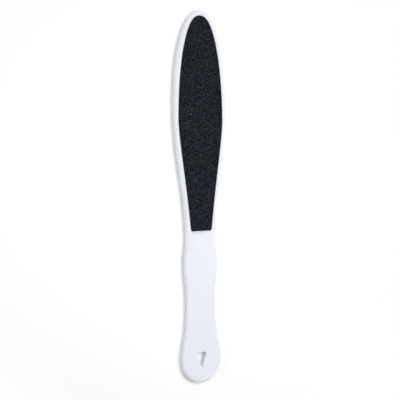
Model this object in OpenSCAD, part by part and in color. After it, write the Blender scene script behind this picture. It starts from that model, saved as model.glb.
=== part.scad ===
// Foot file: a one-piece moulded paddle with an abrasive sheet stuck into a shallow recess in each face.
// It lies on its rear sheet, front sheet up. The rounded tip points to +Y and the hanging hole is at
// the -Y end. Distances along the file are measured from its tip. All sizes are in millimetres.

/* [Handle] */
// Thickness of the moulding, whose rim is rounded to a full half circle
handle_t = 4.7; // [4:0.1:5.2]
// Width of the blade where it is broadest
blade_w = 39.2; // [32:0.2:46]
// Width of the neck below the abrasive
neck_w = 22.8; // [19:0.2:27]
// Width of the swelling that the fingers close on
belly_w = 25.6; // [20:0.2:32]
// Width of the grip's waist
waist_w = 22.2; // [18:0.2:27]
// Width of the rounded lobe that holds the hanging hole
lobe_w = 30; // [22:0.2:38]
// Length from the tip to the blade's broadest place
blade_rise_l = 67; // [50:1:85]
// Length from the blade's broadest place to the neck
blade_fall_l = 90.4; // [70:1:120]
// Length from the neck to the middle of the swelling
neck_l = 17.8; // [14:0.2:26]
// Length from the middle of the swelling to the waist
belly_l = 26.4; // [18:0.2:36]
// Length from the waist to the broadest place of the lobe
flare_l = 42.2; // [28:0.2:56]
// Length from the broadest place of the lobe to the end of the grip
end_l = 18.2; // [14:0.2:24]

/* [Hanging hole] */
// Width of the rounded triangle at its base, inside the eased edges
hole_w = 6.9; // [5.6:0.1:9]
// Length of the rounded triangle, from its base to its point
hole_l = 10.3; // [8:0.1:12]
// Radius of its three corners
hole_corner_r = 0.75; // [0.5:0.05:1.5]
// Plastic left between its point and the end of the grip
hole_end_gap = 11.9; // [9:0.1:15]
// Radius that eases its edge on each face
hole_edge_r = 0.5; // [0.2:0.05:0.9]

/* [Abrasive sheets] */
// Plastic left beside the sheet at its broadest place
sheet_rim = 3.3; // [2.8:0.1:5]
// Plastic left beyond the sheet's rounded tip
sheet_tip_rim = 4.2; // [3:0.1:7]
// Plastic left beside the sheet at its square end
sheet_end_rim = 3.7; // [3:0.1:5]
// Distance from the sheet's square end to the narrowest place of the neck
sheet_end_gap = 4.8; // [3:0.1:12]
// How far below the blade's broadest place the sheet is broadest
sheet_drop = 9.4; // [2:0.2:16]
// Radius of the two corners of the square end
sheet_corner_r = 1.5; // [0.8:0.1:4]
// Clearance between the sheet's edge and the wall of its recess
sheet_clearance = 0.2; // [0.1:0.05:0.5]
// Floor left bare between the sheet's square end and the end wall of the recess
recess_spare = 2.1; // [0.6:0.1:2.6]
// Depth of the recess in each face
recess_d = 0.5; // [0.3:0.05:0.7]
// Thickness of the adhesive film
adhesive_t = 0.15; // [0.1:0.05:0.25]
// Thickness of the backing paper
backing_t = 0.35; // [0.25:0.05:0.5]
// Thickness of the coarse grit coat on the front sheet
coarse_t = 0.4; // [0.3:0.05:0.6]
// Thickness of the fine grit coat on the rear sheet
fine_t = 0.25; // [0.2:0.05:0.5]

/* [Hidden] */

// How full the outline is: 2 is an ellipse, and more is squarer
tip_fullness = 2.24;
end_fullness = 2.2;
sheet_fullness = 2;
// How blunt the sheet's rounded tip is: 1 is a plain superellipse, and less is blunter
sheet_blunt = 0.88;
// How long the blade stays broad before it draws in, and the grip slim before it flares into the lobe:
// 1 is an even curve
blade_lag = 1.05;
flare_lag = 1.55;
// Share of a full level-to-level curve that the sheet's sides run through before the square end,
// and how early they turn in: 1 is an even curve
sheet_turn_share = 0.7;
sheet_turn_lag = 0.7;

// Steps along the curves
tip_steps = 16;
blade_steps = 16;
neck_steps = 6;
belly_steps = 6;
flare_steps = 10;
end_steps = 12;
rim_steps = 8;
sheet_tip_steps = 18;
sheet_side_steps = 12;
corner_steps = 5;
edge_steps = 3;

// Places along the handle
blade_at = blade_rise_l;
neck_at = blade_at + blade_fall_l;
belly_at = neck_at + neck_l;
waist_at = belly_at + belly_l;
lobe_at = waist_at + flare_l;
handle_l = lobe_at + end_l;

// Places of the sheets, which are alike on both faces
sheet_tip_at = sheet_tip_rim;
sheet_broad_at = blade_at + sheet_drop;
sheet_end_at = neck_at - sheet_end_gap;
sheet_w = blade_w - 2 * sheet_rim;
sheet_end_w = neck_w - 2 * sheet_end_rim;

// Heights. The rear sheet's coat rests on the table.
rear_proud = adhesive_t + backing_t + fine_t - recess_d;
handle_z = rear_proud;
face_z = handle_z + handle_t;
rim_r = handle_t / 2;
front_floor_z = face_z - recess_d;
rear_floor_z = handle_z + recess_d;

// Overrun of every cut beyond the face that it opens
cut = handle_t / 4;

// A curve from a to b, level at both ends, at the share t of the way
function level_curve(a, b, t) = a + (b - a) * (1 - cos(180 * t)) / 2;

// A quarter of a superellipse: 0 at t = 0 and 1 at t = 1, where it is level
function dome(t, fullness) = sqrt(max(0, 1 - pow(1 - t, fullness)));

// Half of the handle's width at a distance s from its tip
function handle_half(s) =
    s < blade_at ? blade_w / 2 * dome(s / blade_at, tip_fullness) :
    s < neck_at ? level_curve(blade_w, neck_w, pow((s - blade_at) / blade_fall_l, blade_lag)) / 2 :
    s < belly_at ? level_curve(neck_w, belly_w, (s - neck_at) / neck_l) / 2 :
    s < waist_at ? level_curve(belly_w, waist_w, (s - belly_at) / belly_l) / 2 :
    s < lobe_at ? level_curve(waist_w, lobe_w, pow((s - waist_at) / flare_l, flare_lag)) / 2 :
    lobe_w / 2 * dome((handle_l - s) / end_l, end_fullness);

// Half of a sheet's width at a distance s from the handle's tip
function sheet_turn(t) = (1 - cos(180 * sheet_turn_share * pow(max(0, t), sheet_turn_lag)))
    / (1 - cos(180 * sheet_turn_share));
function sheet_rise(t) = pow(dome(t, sheet_fullness), sheet_blunt);
function sheet_half(s) =
    s < sheet_broad_at
    ? sheet_w / 2 * sheet_rise((s - sheet_tip_at) / (sheet_broad_at - sheet_tip_at))
    :(sheet_w - (sheet_w - sheet_end_w) * sheet_turn((s - sheet_broad_at) / (sheet_end_at - sheet_broad_at))) / 2;

// Evenly spaced places from a to b, without b
function places(a, b, steps) = [for (i = [0 : steps - 1]) a + (b - a) * i / steps];

// Places that crowd towards a, from a to b, without a and b
function crowded(a, b, steps) = [for (i = [1 : steps - 1]) a + (b - a) * (1 - cos(90 * i / steps))];

// A closed outline from its right half, given as [half width, place] pairs from the tip to the end
function reversed(list) = [for (i = [len(list) - 1 : -1 : 0]) list[i]];
function to_point(half, s) = [half, handle_l / 2 - s];
function mirrored_outline(right) = concat(
    [for (q = right) to_point(q[0], q[1])],
    [for (q = reversed(right)) if (q[0] > 0) to_point(-q[0], q[1])]);

// An outline moved in by a distance, square to its own edge, or out when the distance is negative
function inset(outline, distance) = [
    for (i = [0 : len(outline) - 1])
    let (
        before = outline[(i + len(outline) - 1) % len(outline)],
        after = outline[(i + 1) % len(outline)],
        along = (after - before) / norm(after - before)
    )
    outline[i] + distance * [along[1], -along[0]]];

// The handle's outline, at its widest level
function handle_outline() = let (
    stations = concat(
        crowded(0, blade_at, tip_steps),
        places(blade_at, neck_at, blade_steps),
        places(neck_at, belly_at, neck_steps),
        places(belly_at, waist_at, belly_steps),
        places(waist_at, lobe_at, flare_steps),
        [lobe_at],
        reversed(crowded(handle_l, lobe_at, end_steps))))
    mirrored_outline(concat([[0, 0]], [for (s = stations) [handle_half(s), s]], [[0, handle_l]]));

// A sheet's outline, ending square at end_at with rounded corners
function sheet_outline(end_at) = let (
    corner_at = end_at - sheet_corner_r,
    sides = concat(
        crowded(sheet_tip_at, sheet_broad_at, sheet_tip_steps),
        places(sheet_broad_at, corner_at, sheet_side_steps)),
    corner = [
        for (i = [0 : corner_steps])
        let (turn = 90 * i / corner_steps, s = corner_at + sheet_corner_r * sin(turn))
        [sheet_half(s) - sheet_corner_r * (1 - cos(turn)), s]])
    mirrored_outline(concat([[0, sheet_tip_at]], [for (s = sides) [sheet_half(s), s]], corner));

// The faces between two rings of points, given by the number of each ring's first point
function band(low, high, count) = [
    for (i = [0 : count - 1])
    let (j = (i + 1) % count)
    each [[low + i, low + j, high + i], [low + j, high + j, high + i]]];

// A solid skinned over closed rings of points, from the lowest ring to the highest
module skin(rings) {
    count = len(rings[0]);
    top = (len(rings) - 1) * count;
    polyhedron(
        points = [for (ring = rings) each ring],
        faces = concat(
            [[for (i = [count - 1 : -1 : 0]) i]],
            [for (k = [0 : len(rings) - 2]) each band(k * count, (k + 1) * count, count)],
            [[for (i = [0 : count - 1]) top + i]]));
}

// The handle's rim, a half circle all the way round the core
module rim() {
    outline = handle_outline();
    count = len(outline);
    polyhedron(
        points = [
            for (k = [0 : rim_steps])
            let (turn = -90 + 180 * k / rim_steps, z = handle_z + rim_r + rim_r * sin(turn))
            for (p = inset(outline, rim_r * (1 - cos(turn)))) [p[0], p[1], z]],
        faces = [
            for (k = [0 : rim_steps])
            each band(k * count, (k + 1) % (rim_steps + 1) * count, count)]);
}

// The flat part of the handle, inside the rim
module core() {
    translate([0, 0, handle_z])
    linear_extrude(handle_t)
    polygon(inset(handle_outline(), rim_r));
}

// The rounded triangle of the hanging hole, grown by a distance at a height
function hole_ring(grow, z) = let (
    r = hole_corner_r + grow,
    half = hole_w / 2 - hole_corner_r,
    point_y = -handle_l / 2 + hole_end_gap + hole_corner_r,
    base_y = point_y + hole_l - 2 * hole_corner_r,
    lean = atan2(half, base_y - point_y),
    corners = [[half, base_y, 90, -lean], [0, point_y, -lean, lean - 180], [-half, base_y, 180 + lean, 90]])
    [
        for (c = corners, i = [0 : corner_steps])
        let (turn = c[2] + (c[3] - c[2]) * i / corner_steps)
        [c[0] + r * cos(turn), c[1] + r * sin(turn), z]];

// The hole's cutter flares at both faces, which eases the hole's edges
module hole_cutter() {
    flare = [for (i = [0 : edge_steps]) hole_edge_r * (1 - cos(90 * i / edge_steps))];
    depth = [for (i = [0 : edge_steps]) hole_edge_r * (1 - sin(90 * i / edge_steps))];
    skin(concat(
        [hole_ring(hole_edge_r, handle_z - cut)],
        [for (i = [edge_steps : -1 : 0]) hole_ring(flare[i], handle_z + depth[i])],
        [for (i = [0 : edge_steps]) hole_ring(flare[i], face_z - depth[i])],
        [hole_ring(hole_edge_r, face_z + cut)]));
}

// A recess for a sheet, from its floor out through the face that it opens
module recess_cutter(floor_z, opens_up) {
    bottom = opens_up ? floor_z : floor_z - recess_d - cut;
    translate([0, 0, bottom])
    linear_extrude(recess_d + cut)
    polygon(inset(sheet_outline(sheet_end_at + recess_spare - sheet_clearance), -sheet_clearance));
}

// One flat layer of a sheet
module layer(bottom_z, thickness) {
    translate([0, 0, bottom_z])
    linear_extrude(thickness)
    polygon(sheet_outline(sheet_end_at));
}

module handle() {
    color("whitesmoke")
    union() {
        rim();
        difference() {
            core();
            recess_cutter(front_floor_z, true);
            recess_cutter(rear_floor_z, false);
            hole_cutter();
        }
    }
}

module front_adhesive() {
    color("lightyellow") layer(front_floor_z, adhesive_t);
}

module front_backing() {
    color("peru") layer(front_floor_z + adhesive_t, backing_t);
}

module front_grit() {
    color([0.12, 0.13, 0.15]) layer(front_floor_z + adhesive_t + backing_t, coarse_t);
}

module rear_adhesive() {
    color("lightyellow") layer(rear_floor_z - adhesive_t, adhesive_t);
}

module rear_backing() {
    color("peru") layer(rear_floor_z - adhesive_t - backing_t, backing_t);
}

module rear_grit() {
    color([0.16, 0.17, 0.19]) layer(0, fine_t);
}

handle();
front_adhesive();
front_backing();
front_grit();
rear_adhesive();
rear_backing();
rear_grit();
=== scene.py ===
import math

import bmesh
import bpy
import numpy as np
from mathutils import Matrix, Vector
from mathutils.geometry import delaunay_2d_cdt


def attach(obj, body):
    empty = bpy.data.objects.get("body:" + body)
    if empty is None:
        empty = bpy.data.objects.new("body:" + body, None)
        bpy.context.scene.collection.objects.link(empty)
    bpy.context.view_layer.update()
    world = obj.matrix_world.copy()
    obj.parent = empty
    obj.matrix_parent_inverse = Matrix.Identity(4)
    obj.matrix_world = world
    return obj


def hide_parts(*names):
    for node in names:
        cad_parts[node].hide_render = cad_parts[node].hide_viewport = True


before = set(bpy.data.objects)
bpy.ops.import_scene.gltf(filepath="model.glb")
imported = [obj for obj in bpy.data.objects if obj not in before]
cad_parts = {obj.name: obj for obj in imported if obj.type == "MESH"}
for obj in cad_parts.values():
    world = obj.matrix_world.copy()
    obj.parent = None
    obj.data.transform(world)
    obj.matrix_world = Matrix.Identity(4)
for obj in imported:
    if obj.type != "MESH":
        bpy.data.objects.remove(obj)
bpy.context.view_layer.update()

MM = 0.001
TOP, BOTTOM = 1, -1

# The sizes of part.scad, in millimetres. Places s along the file are measured from its tip.
HANDLE_T = 4.7
BLADE_W, NECK_W, BELLY_W, WAIST_W, LOBE_W = 39.2, 22.8, 25.6, 22.2, 30
BLADE_RISE_L, BLADE_FALL_L, NECK_L, BELLY_L, FLARE_L, END_L = 67, 90.4, 17.8, 26.4, 42.2, 18.2
BLADE_AT = BLADE_RISE_L
NECK_AT = BLADE_AT + BLADE_FALL_L
BELLY_AT = NECK_AT + NECK_L
WAIST_AT = BELLY_AT + BELLY_L
LOBE_AT = WAIST_AT + FLARE_L
HANDLE_L = LOBE_AT + END_L
TIP_FULLNESS, END_FULLNESS, SHEET_FULLNESS = 2.24, 2.2, 2
SHEET_BLUNT = 0.88
BLADE_LAG, FLARE_LAG = 1.05, 1.55
SHEET_TURN_SHARE, SHEET_TURN_LAG = 0.7, 0.7
HOLE_W, HOLE_L, HOLE_CORNER_R, HOLE_END_GAP, HOLE_EDGE_R = 6.9, 10.3, 0.75, 11.9, 0.5
SHEET_RIM, SHEET_TIP_RIM, SHEET_END_RIM = 3.3, 4.2, 3.7
SHEET_DROP, SHEET_END_GAP = 9.4, 4.8
SHEET_TIP_AT = SHEET_TIP_RIM
SHEET_BROAD_AT = BLADE_AT + SHEET_DROP
SHEET_END_AT = NECK_AT - SHEET_END_GAP
SHEET_W = BLADE_W - 2 * SHEET_RIM
SHEET_END_W = NECK_W - 2 * SHEET_END_RIM
SHEET_CORNER_R = 1.5
SHEET_CLEARANCE = 0.2
RECESS_SPARE = 2.1
RECESS_D = 0.5
ADHESIVE_T, BACKING_T, COARSE_T, FINE_T = 0.15, 0.35, 0.4, 0.25
HANDLE_Z = ADHESIVE_T + BACKING_T + FINE_T - RECESS_D
MIDDLE_Z = HANDLE_Z + HANDLE_T / 2
RIM_R = HANDLE_T / 2
FLOOR_RISE = RIM_R - RECESS_D  # from the handle's middle to the floor of a recess

# Finer forms that only the dressed part has, in millimetres
LIP_R = 0.1  # eases the recess's edge
END_LIP_R = 0.3  # and the same at its end, where the floor is bare
FILLET_R = 0.2  # between the recess's wall and floor
HOLE_EASE_H = 1.5  # how deep the easing of the hanging hole's edge runs
SEAM_H, SEAM_W = 0.03, 0.14  # the mould's parting line round the rim
SEAM_TOP_W = SEAM_W / 3  # its flat top
FILM_INSET = 0.12  # the film is set back under the paper
FILM_FRAY, PAPER_FRAY, COAT_FRAY = 0.03, 0.025, 0.03  # how far their cut edges wander inward
DROP_POWER = 0.8  # below 1, more of a coat's facets lie low
EDGE_DROP_SHARE = 0.5  # how much lower a coat lies at its cut edge, as a share of its relief

# For each coat, the spacing of its facets, its relief and the size of its grains, in millimetres,
# and how pale its palest grains, partly painted glints, are beside those of the coarse coat
COATS = {"coarse_grit": (0.28, 0.17, 0.33, 1.0), "fine_grit": (0.4, 0.08, 0.28, 0.8)}

# Textures, with the sizes of patterns and the depths of relief in millimetres
TONE_SIZE, SHEEN_SIZE = 34, 9  # patches of the white's tone and of its gloss
SATIN_SIZE, SATIN_DEPTH = 0.35, 0.004  # the mould's fine texture
WAVE_SIZE, WAVE_DEPTH = 14, 0.03  # the slight waves of a moulded face
SCATTER = 1.2  # how far light spreads inside the white
FIBRE_SIZE, FIBRE_DEPTH = 0.5, 0.03
FIBRE_STRETCH = (1, 0.4, 3)
FILM_TONE_SIZE, FILM_SHEEN_SIZE = 1.4, 0.8
FILM_WAVE_SIZE, FILM_WAVE_DEPTH = 0.9, 0.01
PIT_DEPTH = 0.03

# Shares of a grain's size: its chips and pits, the reach and height of its dome, and the band of painted
# shade at its edge
CHIP_SHARE, PIT_SHARE = 0.45, 0.3
DOME_REACH_SHARE, DOME_H_SHARE = 0.6, 0.25
GAP_SHARE = 0.16
CHIP_TONE_SHARE = 0.35  # how much a chip's tone counts beside its grain's

# How finely the meshes are divided. The first two lines are millimetres between points.
HANDLE_EDGE, RECESS_EDGE, SLAB_EDGE = 0.7, 0.6, 0.4
FACE_GRID, FLOOR_GRID, SLAB_GRID, COAT_BACK_GRID = 2.2, 3.0, 5.0, 6.0
HANDLE_POINTS, SHEET_POINTS, CORNER_POINTS, HOLE_CORNER_POINTS = 4001, 3001, 40, 12
RIM_POINTS, LIP_STEPS, HOLE_STEPS, SLAB_RINGS = 29, 4, 8, 3
SUPPORT = 0.09  # width in millimetres of the band that keeps a face's shading flat up to its edge
GRID_GAP_SHARE = 0.6  # a grid keeps this share of its spacing away from an outline
GRID_STRAY_SHARE, GRAIN_STRAY_SHARE = 0.12, 0.34  # how far its points stray, of its spacing
ROW_SHARE = math.sqrt(0.75)  # between the rows of a hexagonal grid, of its spacing

# Distances in millimetres under which points are welded, an edge has no length, a triangulation
# takes two points for one, and two heights are the same
WELD, SLIVER, ONE_POINT, SAME = 0.002, 0.0001, 1e-7, 0.0005

GRID_SEED, FILM_SEED, PAPER_SEED, COAT_SEED = 1, 3, 4, 5

# Colours, in linear red, green and blue
WHITE, PALER_WHITE = (0.812, 0.835, 0.893), (0.828, 0.849, 0.904)
RECESS_SHADE_TONE, RECESS_DULLER = (0.885, 0.905, 0.94), 0.2  # painted shade that darkens and blues the white of the recess's floor, and how much duller its gloss is
RESIN, DARK_GRAIN = (0.0003, 0.0005, 0.0009), (0.0031, 0.0043, 0.0076)
# The grey and pale grains are partly the grains' own paler tone and partly painted glints.
GREY_GRAIN, PALE_GRAIN_AND_GLINT = (0.0225, 0.0265, 0.0365), (0.115, 0.128, 0.155)
DARK_PAPER, BROWN_PAPER, PALE_PAPER = (0.27, 0.155, 0.075), (0.40, 0.25, 0.13), (0.52, 0.36, 0.20)
DARK_FILM, PALE_FILM = (0.62, 0.59, 0.48), (0.72, 0.70, 0.60)

# The photograph's viewpoint, found by fitting the file's outline in it, in degrees and metres
CAMERA_YAW, CAMERA_PITCH, CAMERA_ROLL = 22.52, 3.49, 0.37
CAMERA_DISTANCE = 0.3762

# The lens, in millimetres, is shorter than the photograph's, so that the whole length fits
LENS, SENSOR = 48.1, 36
SHIFT = (0, 0)
CLIP = (0.01, 100)

# Light. A level is about what the light alone gives a white, level surface at the origin, where 1
# shows as white. Places and sizes are in metres.
SKY = 0.31
LAMPS = (  # name, level, place, point that it faces, width and height
    ("key", 0.4, (0.04, 0.14, 0.47), (0, -0.62, 0), (0.46, 0.3)),
    ("side", 0.39, (0.25, 0.07, 0.47), (0, 0, 0), (0.6, 0.2)),
    ("fill", 0.08, (-0.6, 0, 0.25), (0, 0, 0), (0.3, 0.3)))
FLOOR_BOUNCE, FLOOR_SEEN = 0.93, 1.03  # the floor's white as it lights the file, and as it is seen
FLOOR_R = 12  # half of its side
FLOOR_PLAIN = (0.14, 0.19)  # it turns plain white between these distances from its middle


# Outlines

def level_curve(a, b, t):
    """From a to b as t goes from 0 to 1, level at both ends."""
    return a + (b - a) * (1 - np.cos(np.pi * t)) / 2


def dome(t, fullness):
    """From 0 to 1 as t goes from 0 to 1, upright at 0 and level at 1."""
    return np.sqrt(np.clip(1 - np.clip(1 - t, 0, 1) ** fullness, 0, 1))


def handle_half(s):
    """Half of the handle's width at the places s."""
    def run(a, b):
        return np.clip((s - a) / (b - a), 0, 1)
    return np.select(
        [s < BLADE_AT, s < NECK_AT, s < BELLY_AT, s < WAIST_AT, s < LOBE_AT],
        [
            BLADE_W * dome(s / BLADE_AT, TIP_FULLNESS),
            level_curve(BLADE_W, NECK_W, run(BLADE_AT, NECK_AT) ** BLADE_LAG),
            level_curve(NECK_W, BELLY_W, run(NECK_AT, BELLY_AT)),
            level_curve(BELLY_W, WAIST_W, run(BELLY_AT, WAIST_AT)),
            level_curve(WAIST_W, LOBE_W, run(WAIST_AT, LOBE_AT) ** FLARE_LAG),
        ],
        LOBE_W * dome((HANDLE_L - s) / (HANDLE_L - LOBE_AT), END_FULLNESS)) / 2


def sheet_half(s):
    """Half of a sheet's width at the places s."""
    turn = np.clip((s - SHEET_BROAD_AT) / (SHEET_END_AT - SHEET_BROAD_AT), 0, None) ** SHEET_TURN_LAG
    share = (1 - np.cos(np.pi * SHEET_TURN_SHARE * turn)) / (1 - math.cos(math.pi * SHEET_TURN_SHARE))
    rise = dome((s - SHEET_TIP_AT) / (SHEET_BROAD_AT - SHEET_TIP_AT), SHEET_FULLNESS) ** SHEET_BLUNT
    return np.where(s < SHEET_BROAD_AT, SHEET_W * rise, SHEET_W - (SHEET_W - SHEET_END_W) * share) / 2


def eased(a, b, count):
    """Places from a to b that crowd at both ends."""
    return level_curve(a, b, np.linspace(0, 1, count))


def mirrored(half, s):
    """A closed outline from its right half, clockwise seen from above, starting at the tip."""
    right = np.column_stack([half, HANDLE_L / 2 - s])
    left = right[::-1] * [-1, 1]
    return np.concatenate([right, left[left[:, 0] < 0]])


def evenly(outline, spacing):
    """The outline again, with its points evenly spaced."""
    closed = np.concatenate([outline, outline[:1]])
    run = np.concatenate([[0], np.cumsum(np.linalg.norm(np.diff(closed, axis=0), axis=1))])
    count = round(run[-1] / spacing)
    at = np.arange(count) * run[-1] / count
    return np.column_stack([np.interp(at, run, closed[:, k]) for k in (0, 1)])


def outward(outline):
    """The direction out of a clockwise outline at each of its points."""
    along = np.roll(outline, -1, axis=0) - np.roll(outline, 1, axis=0)
    along /= np.linalg.norm(along, axis=1)[:, None]
    return np.column_stack([-along[:, 1], along[:, 0]])


def grown(outline, distance):
    """The outline moved outward by one distance, or by a distance for each point."""
    return outline + outward(outline) * np.asarray(distance).reshape(-1, 1)


def handle_outline(spacing):
    s = eased(0, HANDLE_L, HANDLE_POINTS)
    return evenly(mirrored(handle_half(s), s), spacing)


def sheet_outline(end_at, spacing):
    """A sheet's outline, square at end_at with rounded corners."""
    corner_at = end_at - SHEET_CORNER_R
    side_s = eased(SHEET_TIP_AT, corner_at, SHEET_POINTS)
    turn = np.linspace(0, np.pi / 2, CORNER_POINTS)
    corner_s = corner_at + SHEET_CORNER_R * np.sin(turn)
    corner = sheet_half(corner_s) - SHEET_CORNER_R * (1 - np.cos(turn))
    half = np.concatenate([sheet_half(side_s), corner])
    return evenly(mirrored(half, np.concatenate([side_s, corner_s])), spacing)


def hole_outline(grow):
    """The rounded triangle of the hanging hole, clockwise seen from above, grown by a distance."""
    half = HOLE_W / 2 - HOLE_CORNER_R
    point_y = -HANDLE_L / 2 + HOLE_END_GAP + HOLE_CORNER_R
    base_y = point_y + HOLE_L - 2 * HOLE_CORNER_R
    lean = math.degrees(math.atan2(half, base_y - point_y))
    corners = (
        (half, base_y, 90, -lean),
        (0, point_y, -lean, lean - 180),
        (-half, base_y, 180 + lean, 90))
    r = HOLE_CORNER_R + grow
    points = []
    for x, y, start, stop in corners:
        for turn in np.radians(np.linspace(start, stop, HOLE_CORNER_POINTS)):
            points.append((x + r * math.cos(turn), y + r * math.sin(turn)))
    return np.array(points)


# Meshes

def strips(rings):
    """Quads between neighbours in a list of closed rings, all with equally many points."""
    count = len(rings[0])
    i = np.arange(count)
    j = (i + 1) % count
    quads = [
        np.column_stack([k * count + i, (k + 1) * count + i, (k + 1) * count + j, k * count + j])
        for k in range(len(rings) - 1)]
    return np.concatenate(rings), np.concatenate(quads).tolist()


def at_height(outline, z):
    return np.column_stack([outline, np.broadcast_to(z, len(outline))])


def inside(points, outline):
    """Which points lie inside an outline, by counting crossings."""
    hit = np.zeros(len(points), bool)
    x, y = points[:, 0], points[:, 1]
    for (ax, ay), (bx, by) in zip(outline, np.roll(outline, -1, axis=0)):
        if ay == by:
            continue
        cross = (ay > y) != (by > y)
        hit ^= cross & (x < (bx - ax) * (y - ay) / (by - ay) + ax)
    return hit


def hexagonal(outline, spacing, stray, rng):
    """A hexagonal grid of points over an outline's box, each moved a little at random."""
    low, high = outline.min(0), outline.max(0)
    rows = np.arange(low[1], high[1], spacing * ROW_SHARE)
    columns = np.arange(low[0], high[0] + spacing, spacing)
    grid = np.array([(x + (k % 2) * spacing / 2, y) for k, y in enumerate(rows) for x in columns])
    return grid + rng.uniform(-stray, stray, grid.shape) * spacing


def filled(outer, holes, loops, spacing, stray=GRID_STRAY_SHARE, seed=GRID_SEED):
    """Triangles between an outer outline and holes. loops are support loops in between."""
    rng = np.random.default_rng(seed)
    rings = [outer, *holes, *loops]
    edges, start = [], 0
    for ring in rings:
        count = len(ring)
        edges += [(start + i, start + (i + 1) % count) for i in range(count)]
        start += count
    grid = hexagonal(outer, spacing, stray, rng)
    keep = inside(grid, grown(outer, -GRID_GAP_SHARE * spacing))
    for hole in holes:
        keep &= ~inside(grid, grown(hole, GRID_GAP_SHARE * spacing))
    points = [Vector(p) for p in np.concatenate([*rings, grid[keep]])]
    made, _, faces, *_ = delaunay_2d_cdt(points, edges, [], 0, ONE_POINT)
    made = np.array([tuple(v) for v in made])
    faces = np.array(faces)
    middle = made[faces].mean(1)
    keep = inside(middle, outer)
    for hole in holes:
        keep &= ~inside(middle, hole)
    return made, faces[keep]


def flat(patch, z):
    """A filled patch as a level face at z."""
    return at_height(patch[0], z), patch[1].tolist()


def in_scene(name, data):
    """A new object in the scene, with the given mesh, lamp or camera."""
    made = bpy.data.objects.new(name, data)
    bpy.context.scene.collection.objects.link(made)
    return made


def piece(name, patches, materials, smooth=True):
    """Welds patches into one mesh, which replaces its CAD node and rides on the file.

    Each patch is its points, in millimetres, and its faces.
    """
    verts, faces, start = [], [], 0
    for points, polygons in patches:
        verts.append(np.asarray(points, float))
        faces += [[start + i for i in f] for f in polygons]
        start += len(points)
    mesh = bpy.data.meshes.new(name)
    mesh.from_pydata((np.concatenate(verts) * MM).tolist(), [], faces)
    bm = bmesh.new()
    bm.from_mesh(mesh)
    bmesh.ops.remove_doubles(bm, verts=bm.verts, dist=WELD * MM)
    bmesh.ops.dissolve_degenerate(bm, edges=bm.edges, dist=SLIVER * MM)
    bmesh.ops.recalc_face_normals(bm, faces=bm.faces)
    bm.to_mesh(mesh)
    bm.free()
    mesh.polygons.foreach_set("use_smooth", [smooth] * len(mesh.polygons))
    for material in materials:
        mesh.materials.append(material)
    made = in_scene(name + "_shell", mesh)
    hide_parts(name)
    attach(made, "root")
    return made


def quarter(steps):
    """A quarter round of radius 1, as (share out, share down) from level to upright."""
    turns = np.linspace(0, np.pi / 2, steps + 1)
    return list(zip(1 - np.sin(turns), 1 - np.cos(turns)))


def rim_profile():
    """The rim with its parting line, as (outward, up) from its centre line, rear face first."""
    turns = np.radians(np.linspace(-90, 90, RIM_POINTS))
    arc = [(RIM_R * math.cos(t), RIM_R * math.sin(t)) for t in turns if RIM_R * math.sin(t) > SEAM_W]
    upper = [(RIM_R + SEAM_H, SEAM_TOP_W / 2), (RIM_R, SEAM_W / 2)] + arc
    return [(out, -up) for out, up in reversed(upper)] + upper


def lip_radius(outline):
    """The radius that eases a recess's edge, larger at its bare end."""
    past_sheet = HANDLE_L / 2 - outline[:, 1] - SHEET_END_AT
    return LIP_R + (END_LIP_R - LIP_R) * np.clip(past_sheet / (RECESS_SPARE - SHEET_CLEARANCE), 0, 1)


def recess_profile(lip_r):
    """A recess's wall from the face to its floor, as (outward, up).

    Outward is from the recess's outline, and up from the middle of the handle.
    """
    lip = [(lip_r * a, RIM_R - lip_r * b) for a, b in quarter(LIP_STEPS)]
    return lip + [(-FILLET_R * b, FLOOR_RISE + FILLET_R * a) for a, b in quarter(LIP_STEPS)]


def hole_profile():
    """The hanging hole's wall with both its edges eased, as (outward, up), front face first."""
    upper = [(HOLE_EDGE_R * a, RIM_R - HOLE_EASE_H * b) for a, b in quarter(HOLE_STEPS)]
    return upper + [(out, -up) for out, up in reversed(upper)]


def handle_piece(plastic, shaded_floor_plastic):
    """The moulding. Only the floors of its two recesses have the second plastic, whose white is darkened
    by painted shade.
    """
    core = grown(handle_outline(HANDLE_EDGE), -RIM_R)
    recess_end_at = SHEET_END_AT + RECESS_SPARE - SHEET_CLEARANCE
    recess = grown(sheet_outline(recess_end_at, RECESS_EDGE), SHEET_CLEARANCE)
    lip_r = lip_radius(recess)
    lip, foot, mouth = grown(recess, lip_r), grown(recess, -FILLET_R), hole_outline(HOLE_EDGE_R)
    bands = [
        grown(core, -SUPPORT),
        grown(recess, lip_r + SUPPORT),
        hole_outline(HOLE_EDGE_R + 2 * SUPPORT)]
    face = filled(core, [lip, mouth], bands, FACE_GRID)
    floor = filled(foot, [], [grown(foot, -SUPPORT)], FLOOR_GRID)
    wall = recess_profile(lip_r)
    patches = [
        strips([at_height(grown(core, out), MIDDLE_Z + up) for out, up in rim_profile()]),
        strips([at_height(hole_outline(out), MIDDLE_Z + up) for out, up in hole_profile()])]
    for side in (TOP, BOTTOM):
        patches += [
            flat(face, MIDDLE_Z + side * RIM_R),
            flat(floor, MIDDLE_Z + side * FLOOR_RISE),
            strips([at_height(grown(recess, out), MIDDLE_Z + side * up) for out, up in wall])]
    made = piece("handle", patches, [plastic, shaded_floor_plastic])
    for polygon in made.data.polygons:
        rise = abs(polygon.center.z / MM - MIDDLE_Z)
        polygon.material_index = int(abs(rise - FLOOR_RISE) < SAME)


def slab_piece(name, material, low, high, inset, fray, seed):
    """A thin level layer of a sheet. fray is how far its cut edge wanders."""
    rng = np.random.default_rng(seed)
    outline = grown(sheet_outline(SHEET_END_AT, SLAB_EDGE), -inset)
    wander = rng.uniform(-fray, 0, (SLAB_RINGS, len(outline)))
    rings = [grown(outline, w) for w in wander]
    heights = np.linspace(low, high, len(rings))
    patches = [strips([at_height(r, z) for r, z in zip(rings, heights)])]
    for ring, z in ((rings[0], low), (rings[-1], high)):
        patches.append(flat(filled(ring, [], [], SLAB_GRID), z))
    piece(name, patches, [material], smooth=False)


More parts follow.
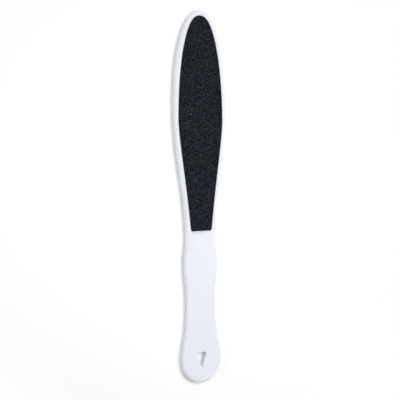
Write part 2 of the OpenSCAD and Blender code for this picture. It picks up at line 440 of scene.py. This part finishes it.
def coat_piece(name, material, near, far, spacing, relief):
    """A coat of grains: facets of random height between its flat back at near and its peaks at far."""
    rng = np.random.default_rng(COAT_SEED)
    outline = sheet_outline(SHEET_END_AT, spacing)
    outline = grown(outline, rng.uniform(-COAT_FRAY, 0, len(outline)))
    verts, faces = filled(outline, [], [], spacing, GRAIN_STRAY_SHARE, COAT_SEED)
    drop = relief * rng.random(len(verts)) ** DROP_POWER
    drop[:len(outline)] += relief * EDGE_DROP_SHARE
    side = TOP if far > near else BOTTOM
    top = at_height(verts, far - side * drop)
    edge = verts[:len(outline)]
    patches = [
        (top, faces.tolist()),
        strips([top[:len(outline)], at_height(edge, near)]),
        flat(filled(edge, [], [], COAT_BACK_GRID), near)]
    piece(name, patches, [material], smooth=False)


# Materials

def feed(tree, node, socket, value):
    """Gives a node's input a value, or another node's output."""
    if isinstance(value, bpy.types.NodeSocket):
        tree.links.new(value, node.inputs[socket])
    else:
        node.inputs[socket].default_value = value


def add_node(tree, kind, sockets=None, **settings):
    """A new node. sockets says what feeds its inputs, by name or number."""
    made = tree.nodes.new(kind)
    for name, value in settings.items():
        setattr(made, name, value)
    for socket, value in (sockets or {}).items():
        feed(tree, made, socket, value)
    return made


class Shader:
    """A material with a Principled shader, and short calls to build the nodes that feed it."""

    def __init__(self, name):
        self.material = bpy.data.materials.new(name)
        self.material.use_nodes = True
        self.tree = self.material.node_tree
        self.bsdf = self.tree.nodes["Principled BSDF"]
        self.place = self.node("ShaderNodeTexCoord").outputs["Object"]

    def node(self, kind, sockets=None, **settings):
        return add_node(self.tree, kind, sockets, **settings)

    def set(self, **sockets):
        for name, value in sockets.items():
            feed(self.tree, self.bsdf, name.replace("_", " "), value)

    def stretched(self, x, y, z):
        return self.node("ShaderNodeMapping", {"Vector": self.place, "Scale": (x, y, z)}).outputs["Vector"]

    def noise(self, size_mm, detail=2.0, rough=0.5, place=None):
        """Noise whose features measure about size_mm, from 0 to 1."""
        sockets = {
            "Vector": place or self.place,
            "Scale": 1 / (size_mm * MM),
            "Detail": detail,
            "Roughness": rough}
        return self.node("ShaderNodeTexNoise", sockets).outputs["Fac"]

    def cells(self, size_mm, feature="F1"):
        """A Voronoi pattern with cells of about size_mm."""
        sockets = {"Vector": self.place, "Scale": 1 / (size_mm * MM)}
        return self.node("ShaderNodeTexVoronoi", sockets, feature=feature).outputs

    def parts(self, color):
        """The red, green and blue of a colour, each from 0 to 1."""
        return self.node("ShaderNodeSeparateColor", {"Color": color}).outputs

    def blend(self, a, b, share):
        """a and b mixed, with the given share of b."""
        return self.node("ShaderNodeMix", {"Factor": share, "A": a, "B": b}).outputs["Result"]

    def times(self, color, value):
        sockets = {"Scale": value, "Vector": color}
        return self.node("ShaderNodeVectorMath", sockets, operation="SCALE").outputs["Vector"]

    def ranged(self, value, low, high, start=0.0, stop=1.0):
        """low to high as the value goes from start to stop."""
        sockets = {"Value": value, "From Min": start, "From Max": stop, "To Min": low, "To Max": high}
        return self.node("ShaderNodeMapRange", sockets).outputs["Result"]

    def ramp(self, value, stops):
        """Colours blended as the value goes from one stop to the next."""
        made = self.node("ShaderNodeValToRGB", {"Fac": value})
        elements = made.color_ramp.elements
        while len(elements) < len(stops):
            elements.new(0.5)
        for element, (at, color) in zip(elements, stops):
            element.position, element.color = at, (*color, 1)
        return made.outputs["Color"]

    def bump(self, height, depth_mm, normal=None):
        sockets = {"Height": height, "Distance": depth_mm * MM, "Strength": 1.0}
        if normal is not None:
            sockets["Normal"] = normal
        return self.node("ShaderNodeBump", sockets).outputs["Normal"]


def tinted(color, tone):
    return tuple(np.multiply(color, tone))


def moulding(name, tone=(1, 1, 1), duller=0.0):
    """Cool white injection-moulded plastic with a fine satin texture, tinted by tone, which on a recess's
    floor is painted shade.
    """
    s = Shader(name)
    tones = [(0.3, tinted(WHITE, tone)), (0.7, tinted(PALER_WHITE, tone))]
    sheen = s.noise(SHEEN_SIZE, detail=3)
    satin = s.noise(SATIN_SIZE, detail=3, rough=0.6)
    waves = s.bump(s.noise(WAVE_SIZE, detail=1), WAVE_DEPTH)
    s.set(
        Base_Color=s.ramp(s.noise(TONE_SIZE), tones),
        Roughness=s.ranged(sheen, 0.44 + duller, 0.54 + duller, start=0.3, stop=0.7),
        IOR=1.49,
        Specular_IOR_Level=0.2,
        Subsurface_Weight=1.0,
        Subsurface_Radius=(1.0, 0.95, 0.9),
        Subsurface_Scale=SCATTER * MM,
        Normal=s.bump(satin, SATIN_DEPTH, waves))
    return s.material


def grit(name, grain_mm, lighter):
    """Black mineral grains in resin, with painted shade at each grain's edge and painted glints among its
    paler grains. lighter scales the tone of the grains that stand out.
    """
    s = Shader(name)
    grains, chips = s.cells(grain_mm), s.cells(grain_mm * CHIP_SHARE)
    # Painted shade: each grain darkens towards its edge, into the gaps between grains, and its middle is
    # painted a little lighter.
    gap_shade = s.cells(grain_mm, "DISTANCE_TO_EDGE")["Distance"]
    grain, chip = s.parts(grains["Color"]), s.parts(chips["Color"])
    # Random grain tones; the grey and pale ones also carry painted glints.
    tone = s.ramp(s.blend(grain["Red"], chip["Red"], CHIP_TONE_SHARE), [
        (0.1, RESIN),
        (0.45, DARK_GRAIN),
        (0.72, tinted(GREY_GRAIN, lighter)),
        (0.92, tinted(PALE_GRAIN_AND_GLINT, lighter))])
    domes = s.ranged(grains["Distance"], 1, 0, stop=DOME_REACH_SHARE)
    pits = s.noise(grain_mm * PIT_SHARE, detail=3)
    s.set(
        # The grains' tones times the painted shade at their edges.
        Base_Color=s.times(tone, s.ranged(gap_shade, 0.35, 1.15, stop=GAP_SHARE)),
        Roughness=s.ranged(grain["Green"], 0.4, 0.85),
        Specular_IOR_Level=0.03,
        Normal=s.bump(pits, PIT_DEPTH, s.bump(domes, grain_mm * DOME_H_SHARE)))
    return s.material


def paper():
    """Brown backing paper: pressed fibres and a cut edge."""
    s = Shader("backing_paper")
    fibres = s.noise(FIBRE_SIZE, detail=4, rough=0.65, place=s.stretched(*FIBRE_STRETCH))
    s.set(
        Base_Color=s.ramp(fibres, [(0.3, DARK_PAPER), (0.52, BROWN_PAPER), (0.72, PALE_PAPER)]),
        Roughness=s.ranged(fibres, 0.95, 0.8),
        Normal=s.bump(fibres, FIBRE_DEPTH))
    return s.material


def film():
    """Pale acrylic adhesive."""
    s = Shader("adhesive_film")
    s.set(
        Base_Color=s.ramp(s.noise(FILM_TONE_SIZE, detail=3), [(0.35, DARK_FILM), (0.65, PALE_FILM)]),
        Roughness=s.ranged(s.noise(FILM_SHEEN_SIZE), 0.25, 0.5),
        Normal=s.bump(s.noise(FILM_WAVE_SIZE), FILM_WAVE_DEPTH))
    return s.material


# Stage

def seen_straight(tree):
    """1 for rays from the camera, a reflection or clear glass, and 0 for rays that light the object."""
    path = add_node(tree, "ShaderNodeLightPath").outputs
    seen = path["Is Camera Ray"]
    for ray in ("Is Glossy Ray", "Is Transmission Ray"):
        seen = add_node(tree, "ShaderNodeMath", {0: seen, 1: path[ray]}, operation="MAXIMUM").outputs[0]
    return seen


def floor_material():
    """White, with the object's shadow near the object and plain white far from it."""
    material = bpy.data.materials.new("floor_white")
    material.use_nodes = True
    tree = material.node_tree
    tree.nodes.clear()
    seen = seen_straight(tree)
    sockets = {"Value": seen, "To Min": FLOOR_BOUNCE, "To Max": FLOOR_SEEN}
    tone = add_node(tree, "ShaderNodeMapRange", sockets).outputs["Result"]
    shaded = add_node(tree, "ShaderNodeBsdfDiffuse", {"Color": tone}).outputs["BSDF"]
    plain = add_node(tree, "ShaderNodeEmission").outputs["Emission"]
    place = add_node(tree, "ShaderNodeTexCoord").outputs["Object"]
    distance = add_node(tree, "ShaderNodeVectorMath", {0: place}, operation="LENGTH").outputs["Value"]
    sockets = {"Value": distance, "From Min": FLOOR_PLAIN[0], "From Max": FLOOR_PLAIN[1]}
    far = add_node(tree, "ShaderNodeMapRange", sockets, interpolation_type="SMOOTHSTEP").outputs["Result"]
    share = add_node(tree, "ShaderNodeMath", {0: far, 1: seen}, operation="MULTIPLY").outputs[0]
    mix = add_node(tree, "ShaderNodeMixShader", {"Fac": share, 1: shaded, 2: plain}).outputs["Shader"]
    add_node(tree, "ShaderNodeOutputMaterial", {"Surface": mix})
    return material


def make_floor():
    mesh = bpy.data.meshes.new("floor")
    r = FLOOR_R
    mesh.from_pydata([(-r, -r, 0), (r, -r, 0), (r, r, 0), (-r, r, 0)], [], [(0, 1, 2, 3)])
    mesh.materials.append(floor_material())
    floor = in_scene("floor", mesh)


def make_lamp(name, level, at, aim, size):
    """A softbox at one place that faces another.

    Its power follows from its level, its distance and how slantwise its light leaves and arrives.
    """
    place, facing = Vector(at), (Vector(at) - Vector(aim)).normalized()
    lamp = bpy.data.lights.new(name, "AREA")
    lamp.shape = "RECTANGLE"
    lamp.size, lamp.size_y = size
    lamp.energy = level * (math.pi * place.length_squared) ** 2 / (place.z * place.dot(facing))
    made = in_scene(name, lamp)
    made.location = place
    made.rotation_mode = "QUATERNION"
    made.rotation_quaternion = facing.to_track_quat("Z", "Y")


def make_sky():
    """Dim where it lights the object, and white where it is seen."""
    world = bpy.data.worlds.new("studio")
    bpy.context.scene.world = world
    world.use_nodes = True
    tree = world.node_tree
    sockets = {"Value": seen_straight(tree), "To Min": SKY, "To Max": 1}
    level = add_node(tree, "ShaderNodeMapRange", sockets).outputs["Result"]
    background = tree.nodes["Background"]
    feed(tree, background, "Color", (1, 1, 1, 1))
    feed(tree, background, "Strength", level)


def make_camera():
    yaw, pitch, roll = (math.radians(a) for a in (CAMERA_YAW, CAMERA_PITCH, CAMERA_ROLL))
    back = Vector((-math.sin(yaw) * math.cos(pitch), math.sin(pitch), math.cos(yaw) * math.cos(pitch)))
    up = (Vector((0, 1, 0)) - back.y * back).normalized()
    level = Matrix((up.cross(back), up, back)).transposed()
    turned = level @ Matrix.Rotation(-roll, 3, "Z")
    middle = Vector((0, 0, MIDDLE_Z * MM))
    lens = bpy.data.cameras.new("camera")
    lens.lens, lens.sensor_width = LENS, SENSOR
    lens.shift_x, lens.shift_y = SHIFT
    lens.clip_start, lens.clip_end = CLIP
    camera = in_scene("camera", lens)
    camera.matrix_world = Matrix.Translation(middle + CAMERA_DISTANCE * back) @ turned.to_4x4()
    bpy.context.scene.camera = camera


def make_sheet(name, side, slot, coat_t, brown, pale):
    """Film, paper and coat, stacked outward from the floor of one recess."""
    film_at = MIDDLE_Z + side * FLOOR_RISE
    paper_at = film_at + side * ADHESIVE_T
    coat_at = paper_at + side * BACKING_T
    spacing, relief, grain, lighter = COATS[slot]
    look = grit(slot, grain, lighter)
    slab_piece(name + "_adhesive", pale, film_at, paper_at, FILM_INSET, FILM_FRAY, FILM_SEED)
    slab_piece(name + "_backing", brown, paper_at, coat_at, 0, PAPER_FRAY, PAPER_SEED)
    coat_piece(name + "_grit", look, coat_at, coat_at + side * coat_t, spacing, relief)


def make_file():
    # The recesses' floors are a white darkened and blued by painted shade.
    handle_piece(moulding("moulded_white"), moulding("recess_floor_painted_shade", RECESS_SHADE_TONE, RECESS_DULLER))
    brown, pale = paper(), film()
    make_sheet("front", TOP, "coarse_grit", COARSE_T, brown, pale)
    make_sheet("rear", BOTTOM, "fine_grit", FINE_T, brown, pale)


bpy.context.scene.view_settings.view_transform = "Standard"
make_camera()
make_sky()
for lamp in LAMPS:
    make_lamp(*lamp)
make_floor()
make_file()
